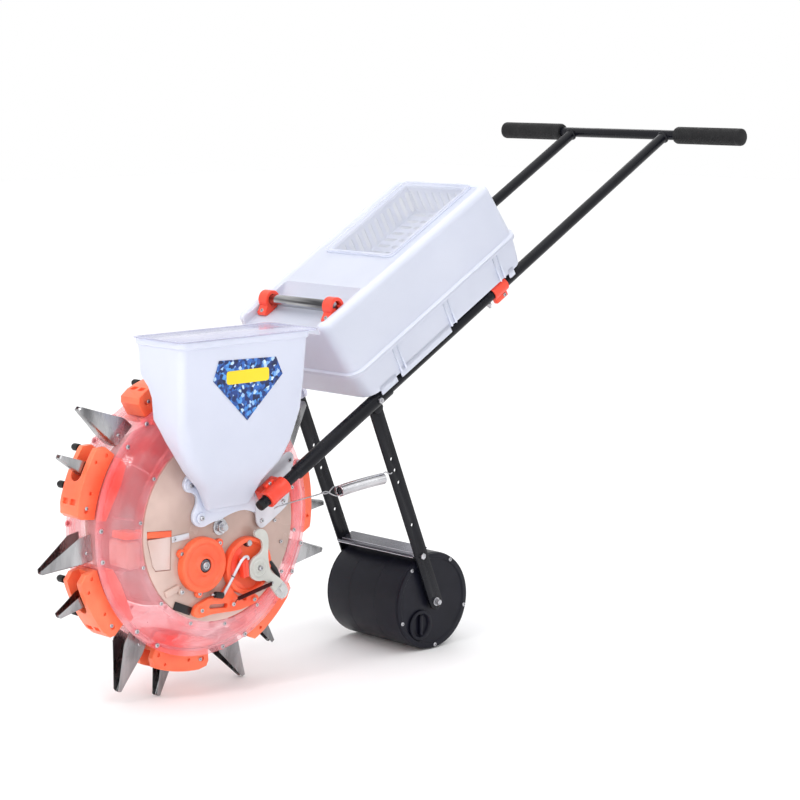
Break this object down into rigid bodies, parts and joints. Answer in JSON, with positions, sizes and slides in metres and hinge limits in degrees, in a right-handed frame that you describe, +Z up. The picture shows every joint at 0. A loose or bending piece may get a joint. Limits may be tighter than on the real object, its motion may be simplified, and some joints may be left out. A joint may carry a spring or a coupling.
{
  "type": "rotary duckbill seed planter",
  "caption": "Hand-pushed dibble planter: spiked transparent seed wheel, front seed hopper, fertiliser box on twin handle tubes, and a sprung press roller at the rear.",
  "frame": {"origin": "on the ground under the middle of the whole machine's bounding box", "axes": "+X forward, the way the machine is pushed; +Y to the operator's left, the side of the seed hopper; +Z up"},
  "size_m": [1.4287, 0.614, 0.9395],
  "materials": {
    "black_steel": "satin black paint",
    "black_rubber": "soft ribbed rubber",
    "black_plastic": "moulded, lightly textured",
    "orange_plastic": "moulded",
    "white_plastic": "translucent milky moulding",
    "clear_plastic": "clear moulding",
    "tan_plastic": "smoked translucent moulding",
    "grey_plastic": "moulded",
    "bright_steel": "plain folded and zinc-plated steel",
    "chrome": "polished"
  },
  "bodies": {
    "frame": {"handlebar": "black_steel", "grip_left": "black_rubber", "grip_right": "black_rubber", "upper_tube_left": "black_steel", "upper_tube_right": "black_steel", "lower_tube_left": "black_steel", "lower_tube_right": "black_steel", "tube_clamp_left": "orange_plastic", "tube_clamp_right": "orange_plastic", "gusset_left": "bright_steel", "gusset_right": "bright_steel", "side_plate_left": "tan_plastic", "side_plate_right": "tan_plastic", "wheel_axle": "bright_steel", "seed_hopper": "white_plastic", "meter_cover": "orange_plastic", "feed_housing": "orange_plastic", "seed_chute": "clear_plastic", "box_tray": "white_plastic", "box_cover": "white_plastic", "cross_bar": "chrome", "bar_clamp_left": "orange_plastic", "bar_clamp_right": "orange_plastic", "fertiliser_pipe": "white_plastic", "roller_spring_left": "bright_steel", "roller_spring_right": "bright_steel"},
    "drum": {"drum_rim": "clear_plastic", "drum_cover_left": "clear_plastic", "drum_cover_right": "clear_plastic", "beak_holder_1": "orange_plastic", "beak_holder_2": "orange_plastic", "beak_holder_3": "orange_plastic", "beak_holder_4": "orange_plastic", "beak_holder_5": "orange_plastic", "beak_holder_6": "orange_plastic", "beak_holder_7": "orange_plastic", "opener_1": "bright_steel", "opener_2": "bright_steel", "opener_3": "bright_steel", "opener_4": "bright_steel", "opener_5": "bright_steel", "opener_6": "bright_steel", "opener_7": "bright_steel"},
    "meter_rotor": {"meter_rotor": "bright_steel"},
    "feed_lever": {"feed_lever": "grey_plastic"},
    "hopper_lid": {"hopper_lid": "clear_plastic"},
    "window_lid": {"window_lid": "clear_plastic"},
    "roller_arms": {"roller_arm_left": "black_steel", "roller_arm_right": "black_steel", "scraper": "black_steel", "roller_axle": "bright_steel"},
    "roller": {"roller_shell": "black_plastic"},
    "filler_cap": {"filler_cap": "black_plastic"},
    "flap_1": {"beak_flap_1": "bright_steel"},
    "flap_2": {"beak_flap_2": "bright_steel"},
    "flap_3": {"beak_flap_3": "bright_steel"},
    "flap_4": {"beak_flap_4": "bright_steel"},
    "flap_5": {"beak_flap_5": "bright_steel"},
    "flap_6": {"beak_flap_6": "bright_steel"},
    "flap_7": {"beak_flap_7": "bright_steel"}
  },
  "joints": [
    {"name": "drum_spin", "type": "hinge", "parent": "frame", "child": "drum", "pos_m": [0.402, 0, 0.295], "axis": [0, 1, 0], "continuous": true},
    {"name": "flap_1_hinge", "type": "hinge", "parent": "drum", "child": "flap_1", "pos_m": [0.61222, 0, 0.40443], "axis": [0, 1, 0], "range_deg": [0, 12], "stiffness_Nm_per_rad": 0.5, "springref_deg": -11.46},
    {"name": "flap_2_hinge", "type": "hinge", "parent": "drum", "child": "flap_2", "pos_m": [0.61863, 0, 0.19887], "axis": [0, 1, 0], "range_deg": [0, 12], "stiffness_Nm_per_rad": 0.5, "springref_deg": -11.46},
    {"name": "flap_3_hinge", "type": "hinge", "parent": "drum", "child": "flap_3", "pos_m": [0.46191, 0, 0.0657], "axis": [0, 1, 0], "range_deg": [0, 12], "stiffness_Nm_per_rad": 0.5, "springref_deg": -11.46},
    {"name": "flap_4_hinge", "type": "hinge", "parent": "drum", "child": "flap_4", "pos_m": [0.26008, 0, 0.10519], "axis": [0, 1, 0], "range_deg": [0, 12], "stiffness_Nm_per_rad": 0.5, "springref_deg": -11.46},
    {"name": "flap_5_hinge", "type": "hinge", "parent": "drum", "child": "flap_5", "pos_m": [0.16512, 0, 0.28762], "axis": [0, 1, 0], "range_deg": [0, 12], "stiffness_Nm_per_rad": 0.5, "springref_deg": -11.46},
    {"name": "flap_6_hinge", "type": "hinge", "parent": "drum", "child": "flap_6", "pos_m": [0.24853, 0, 0.4756], "axis": [0, 1, 0], "range_deg": [0, 12], "stiffness_Nm_per_rad": 0.5, "springref_deg": -11.46},
    {"name": "flap_7_hinge", "type": "hinge", "parent": "drum", "child": "flap_7", "pos_m": [0.44751, 0, 0.52759], "axis": [0, 1, 0], "range_deg": [0, 12], "stiffness_Nm_per_rad": 0.5, "springref_deg": -11.46},
    {"name": "meter_rotor_spin", "type": "hinge", "parent": "frame", "child": "meter_rotor", "pos_m": [0.446, 0, 0.237], "axis": [0, 1, 0], "continuous": true},
    {"name": "feed_lever_turn", "type": "hinge", "parent": "frame", "child": "feed_lever", "pos_m": [0.333, 0, 0.217], "axis": [0, 1, 0], "range_deg": [-15, 15], "stiffness_Nm_per_rad": 0.4},
    {"name": "hopper_lid_slide", "type": "slide", "parent": "frame", "child": "hopper_lid", "axis": [1, 0, 0], "range_m": [0, 0.25]},
    {"name": "window_lid_hinge", "type": "hinge", "parent": "frame", "child": "window_lid", "pos_m": [-0.19341, 0, 0.84287], "axis": [0, -1, 0], "range_deg": [0, 90]},
    {"name": "roller_arm_swing", "type": "hinge", "parent": "frame", "child": "roller_arms", "pos_m": [0.06331, 0, 0.46343], "axis": [0, -1, 0], "range_deg": [0, 20], "stiffness_Nm_per_rad": 3, "springref_deg": -22.92, "deforming": ["roller_spring_left", "roller_spring_right"]},
    {"name": "roller_spin", "type": "hinge", "parent": "roller_arms", "child": "roller", "pos_m": [-0.09, 0, 0.09], "axis": [0, 1, 0], "continuous": true},
    {"name": "filler_cap_turn", "type": "hinge", "parent": "roller", "child": "filler_cap", "pos_m": [-0.059, 0, 0.049], "axis": [0, 1, 0], "range_deg": [0, 90]}
  ],
  "couplings": [
    {"joint": "meter_rotor_spin", "follows": "drum_spin", "ratio": 3}
  ]
}
